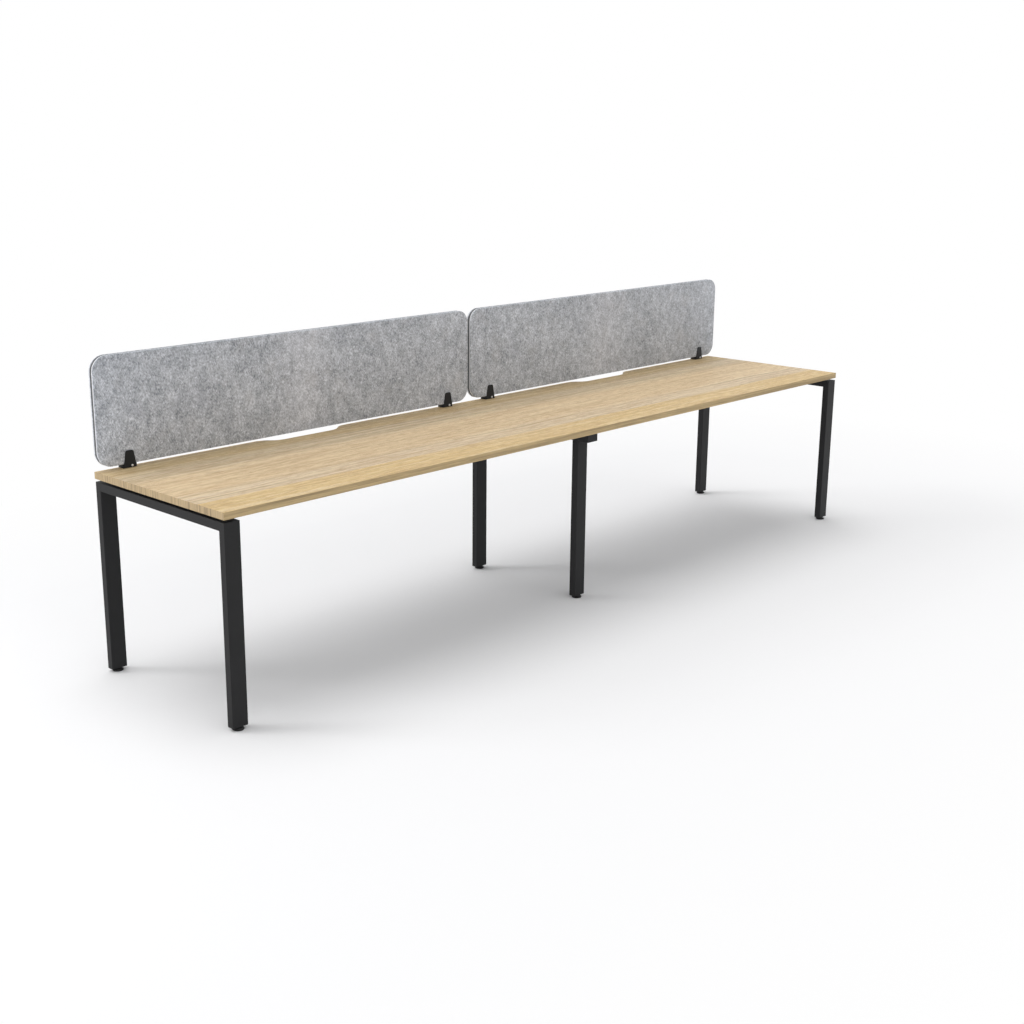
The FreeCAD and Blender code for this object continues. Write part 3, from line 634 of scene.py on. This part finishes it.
# levelling feet: a rounded glide, a six-sided nut and a threaded stem; the glide's steps are given
# inwards from its rim, the nut's from its axis
levelFoot = {"glide": ((0.0016, 0), (0.0006, 0.0004), (0, 0.0014), (0, 0.0046), (0.0006, 0.0055),
                       (0.0034, 0.0074), (0.0042, 0.0079)),
             "hub": (0.0092, 0.008), "glideSides": 48,
             "nut": ((0.0074, 0.0078), (0.0079, 0.0083), (0.0079, 0.0114), (0.0074, 0.0119),
                     (0.0050, 0.0119)),
             "nutSides": 6, "core": 0.0034, "stemFoot": 0.0116, "stemTip": (0.0008, 0.0010),
             "stemSides": 20, "pitch": 0.00125, "ridge": 0.0005, "ridgeOut": 0.0001,
             "threadFoot": 0.0126, "threadSpare": 0.0150}


def makeThread(top):
    startFresh()
    bpy.ops.mesh.primitive_circle_add(vertices=3, radius=levelFoot["ridge"], fill_type="NOTHING",
                                      location=(levelFoot["core"] + levelFoot["ridgeOut"], 0,
                                                levelFoot["threadFoot"]),
                                      rotation=(quarterTurn, -quarterTurn, 0))
    thread = bpy.context.object
    applyPlace()
    turn = thread.modifiers.new("turn", "SCREW")
    turn.axis = "Z"
    turn.screw_offset = levelFoot["pitch"]
    turn.iterations = int((top - levelFoot["threadSpare"]) / levelFoot["pitch"])
    turn.steps = turn.render_steps = levelFoot["stemSides"]
    bpy.ops.object.modifier_apply(modifier="turn")
    bpy.ops.object.mode_set(mode="EDIT")
    bpy.ops.mesh.select_all(action="SELECT")
    bpy.ops.mesh.fill_holes(sides=3)
    return settle(thread, 30)


def makeFeet():
    low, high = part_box("left_front_foot")
    rim, top = (high.x - low.x) / 2, high.z
    glideSteps = [(rim - inward, height) for inward, height in levelFoot["glide"]]
    glide = settle(lathe("glide", glideSteps + [levelFoot["hub"]], levelFoot["glideSides"]))
    nut = settle(lathe("nut", levelFoot["nut"], levelFoot["nutSides"]), 20)
    core, (tipInward, tipHeight) = levelFoot["core"], levelFoot["stemTip"]
    stem = settle(lathe("stem", [(core, levelFoot["stemFoot"]), (core, top - tipHeight),
                                 (core - tipInward, top)], levelFoot["stemSides"]))
    master = joinAs("levelling_foot", [glide, nut, stem, makeThread(top)])
    for frameName in ("left", "centre", "right"):
        for sideName in ("front", "rear"):
            nodeName = f"{frameName}_{sideName}_foot"
            low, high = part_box(nodeName)
            middle = (low + high) / 2
            twin = copyTo(master, nodeName + "_glide", (middle.x, middle.y, low.z))
            fit(twin, nodeName, "foot_steel", nodeName)
    drop(master)


makeFeet()
print("levelling feet made")

# hidden fasteners: low round heads with sockets, under the frames; the crown's steps are shares of
# the head's radius and of the crown's height
underScrews = {"saddle_screws": {"socket": 0.0024, "depth": 0.0016, "shank": 0.003, "crown": 0.0012,
                                 "seat": 0.0035},
               "top_screws": {"socket": 0.0020, "depth": 0.0014, "shank": 0.0025, "crown": 0.0010,
                              "seat": 0.003}}
screwShape = {"crown": ((0.62, 0), (0.86, 0.45), (0.97, 1), (1, 1.6)), "tip": 0.001, "point": 0.6,
              "sides": 24}


def makeUnderScrews(nodeName, look):
    boxes = solidsOf(nodeName)
    low, high = boxes[0]
    head, length = (high.x - low.x) / 2, high.z - low.z
    shank, seat = look["shank"], look["seat"]
    crown = [(head * wide, look["crown"] * tall) for wide, tall in screwShape["crown"]]
    master = lathe(nodeName, crown + [(head, seat), (shank, seat), (shank, length - screwShape["tip"]),
                                      (shank * screwShape["point"], length)], screwShape["sides"])
    sinkSocket(look["socket"], look["depth"])
    settle(master)
    copies = []
    for low, high in boxes:
        middle = (low + high) / 2
        copies.append(copyTo(master, "screw", (middle.x, middle.y, low.z)))
    drop(master)
    fit(joinAs(nodeName + "_socket_heads", copies), "desk", slotOf[nodeName], nodeName)


for nodeName, screwLook in underScrews.items():
    makeUnderScrews(nodeName, screwLook)
print("frame screws made")

# moulded caps in the ends of the centre rail
railCap = {"plate": 0.003, "corner": 0.0025, "cornerSteps": 5, "rim": 0.0008, "rimSteps": 3,
           "border": 0.0010, "dish": 0.0004, "plugInset": 0.00175, "plugLength": 0.015,
           "plugCorner": 0.001, "plugCornerSteps": 3}


def makeRailCaps():
    low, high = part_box("centre_rail_end_caps")
    caps = []
    for side in (-1, 1):
        outer = low.y if side < 0 else high.y
        seat = outer - side * railCap["plate"]
        cap = block("cap", (low.x, min(outer, seat), low.z), (high.x, max(outer, seat), high.z))
        bevelDepthEdges(railCap["corner"], railCap["cornerSteps"])
        bevelRim(outer, railCap["rim"], railCap["rimSteps"])
        choose("polygons", lambda mesh, face: (abs(face.center.y - outer) < touching
                                               and abs(face.normal.y) > squareOn))
        bpy.ops.mesh.inset(thickness=railCap["border"])
        bpy.ops.mesh.inset(thickness=railCap["dish"], depth=-railCap["dish"])
        settle(cap)
        inset = railCap["plugInset"]
        tail = seat - side * railCap["plugLength"]
        plug = block("plug", (low.x + inset, min(tail, seat), low.z + inset),
                     (high.x - inset, max(tail, seat), high.z - inset))
        bevelDepthEdges(railCap["plugCorner"], railCap["plugCornerSteps"])
        settle(plug)
        caps.extend([cap, plug])
    fit(joinAs("centre_rail_moulded_caps", caps), "desk", "black_plastic", "centre_rail_end_caps")


makeRailCaps()
print("rail caps made")

# fixed halves of the clamps, with their arrises broken; angles in degrees
clampBody = {"arris": 0.0006, "steps": 2, "sharp": 40, "flat": 1}
for clampName in ("left_outer_clamp", "left_inner_clamp", "right_outer_clamp", "right_inner_clamp"):
    clamp = copyOfNode(clampName, clampName + "_body")
    bpy.ops.mesh.dissolve_limited(angle_limit=math.radians(clampBody["flat"]))
    bpy.ops.object.mode_set(mode="OBJECT")
    arris = clamp.modifiers.new("arris", "BEVEL")
    arris.width = clampBody["arris"]
    arris.segments = clampBody["steps"]
    arris.limit_method = "ANGLE"
    arris.angle_limit = math.radians(clampBody["sharp"])
    bpy.ops.object.modifier_apply(modifier="arris")
    settle(clamp)
    fit(clamp, "desk", "clamp_black", clampName)
print("clamp bodies made")

# floor and light: an even dome, a high lamp, a strip at the rear left, a panel on the left and a
# low front fill; the strip's levels are listed by height above the floor in degrees
stageLook = {"floor": tone(246, 246, 247), "size": 80, "drop": 0.0155, "fade": (0.9, 2.4),
             "fadeSpan": 10, "dome": 0.45,
             "high": {"aim": (0.0, 0.18, 1.0), "level": 0.39, "spread": 46},
             "front": {"aim": (-0.3, -1.0, 0.45), "level": 0.2, "spread": 80},
             "strip": {"levels": {62: 0.02, 45: 0.06, 30: 0.12}, "spread": 18},
             "left": {"place": (-4.2, 0.9, 1.6), "towards": (-1.0, 0.2, 0.6), "across": 2.2,
                      "power": 14}}


def seenDirectly(finish):
    path = finish.node("ShaderNodeLightPath")
    straight, mirrored, through = (Wire(finish, path.outputs[name]) for name in
                                   ("Is Camera Ray", "Is Glossy Ray", "Is Transmission Ray"))
    return finish.add("ShaderNodeClamp", None, {0: straight + mirrored + through})


def floorFinish():
    ground = Finish("pale_floor", Base_Color=(*stageLook["floor"], 1), Roughness=0.9,
                    Specular_IOR_Level=0.0)
    span = stageLook["fadeSpan"]

    def outside(letter, edge):
        # how far a spot lies outside the desk's outline along one axis
        return ground.between(abs(ground.axis(ground.place, letter)), edge, edge + span) * span

    outX, outY = outside("X", cadBox[1].x), outside("Y", cadBox[1].y)
    far = ground.between((outX * outX + outY * outY) ** 0.5, *stageLook["fade"])
    white = ground.add("ShaderNodeEmission")
    above = ground.add("ShaderNodeMixShader", None,
                       {0: far * seenDirectly(ground), 1: Wire(ground, ground.shader.outputs[0]),
                        2: white})
    # clear when seen from underneath, so that the underside shows
    under = ground.add("ShaderNodeNewGeometry", output="Backfacing")
    whole = ground.add("ShaderNodeMixShader", None,
                       {0: under, 1: above, 2: ground.add("ShaderNodeBsdfTransparent")})
    ground.tree.links.new(whole.socket, ground.output.inputs["Surface"])
    return ground.material


def floorPart(name, middle, wide, deep, finish):
    startFresh()
    bpy.ops.mesh.primitive_plane_add(size=1, location=middle)
    part = bpy.context.object
    part.name = name
    part.scale = (wide, deep, 1)
    applyPlace()
    part.data.materials.append(finish)
    return part


def layFloor():
    # six parts, each of which stays under its own foot when that foot is screwed out
    finish = floorFinish()
    size, edge = stageLook["size"], stageLook["size"] / 2
    frameNames = ("left", "centre", "right")
    feet = [sum(corner.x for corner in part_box(name + "_front_foot")) / 2 for name in frameNames]
    cuts = (-edge, (feet[0] + feet[1]) / 2, (feet[1] + feet[2]) / 2, edge)
    for frameName, start, stop in zip(frameNames, cuts, cuts[1:]):
        for sideName, side in (("front", -1), ("rear", 1)):
            part = floorPart(f"floor_{frameName}_{sideName}", ((start + stop) / 2, side * edge / 2, 0),
                             stop - start, edge, finish)
            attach(part, f"{frameName}_{sideName}_foot")
    # a lower floor, seen only at the step beside a foot that is further out than its neighbours
    floorPart("floor_base", (0, 0, -stageLook["drop"]), size, size, finish)


layFloor()
print("floor laid")


class Sky(Finish):
    # the world: even light on the object, and plain white where it is seen
    def __init__(self, level):
        world = bpy.data.worlds.new("studio")
        bpy.context.scene.world = world
        self.startTree(world)
        dome = self.add("ShaderNodeBackground", None, {"Color": (1, 1, 1, 1), "Strength": level})
        white = self.add("ShaderNodeBackground", None, {"Color": (1, 1, 1, 1)})
        seen = self.add("ShaderNodeMixShader", None, {0: seenDirectly(self), 1: dome, 2: white})
        self.node("ShaderNodeOutputWorld", None, {"Surface": seen})


Sky(stageLook["dome"])


def hang(lampName, kind, energy, aim):
    lamp = bpy.data.lights.new(lampName + "_lamp", kind)
    lamp.energy = energy
    holder = bpy.data.objects.new(lampName + "_lamp", lamp)
    holder.rotation_euler = Vector(aim).to_track_quat("Z", "Y").to_euler()
    bpy.context.scene.collection.objects.link(holder)
    return holder


def hangSun(lampName, aim, level, spread):
    # a level of 1 lights a white sheet that faces the lamp to plain white
    hang(lampName, "SUN", level * math.pi, aim).data.angle = math.radians(spread)


for lampName in ("high", "front"):
    hangSun(lampName, **stageLook[lampName])
for height, level in stageLook["strip"]["levels"].items():
    out, up = math.cos(math.radians(height)), math.sin(math.radians(height))
    hangSun(f"strip_{height}", (-out, out, up * math.sqrt(2)), level, stageLook["strip"]["spread"])
panel = stageLook["left"]
leftLamp = hang("left", "AREA", panel["power"], Vector(panel["place"]) - Vector(panel["towards"]))
leftLamp.data.size = panel["across"]
leftLamp.location = panel["place"]
leftLamp.visible_camera = False
print("stage lit")
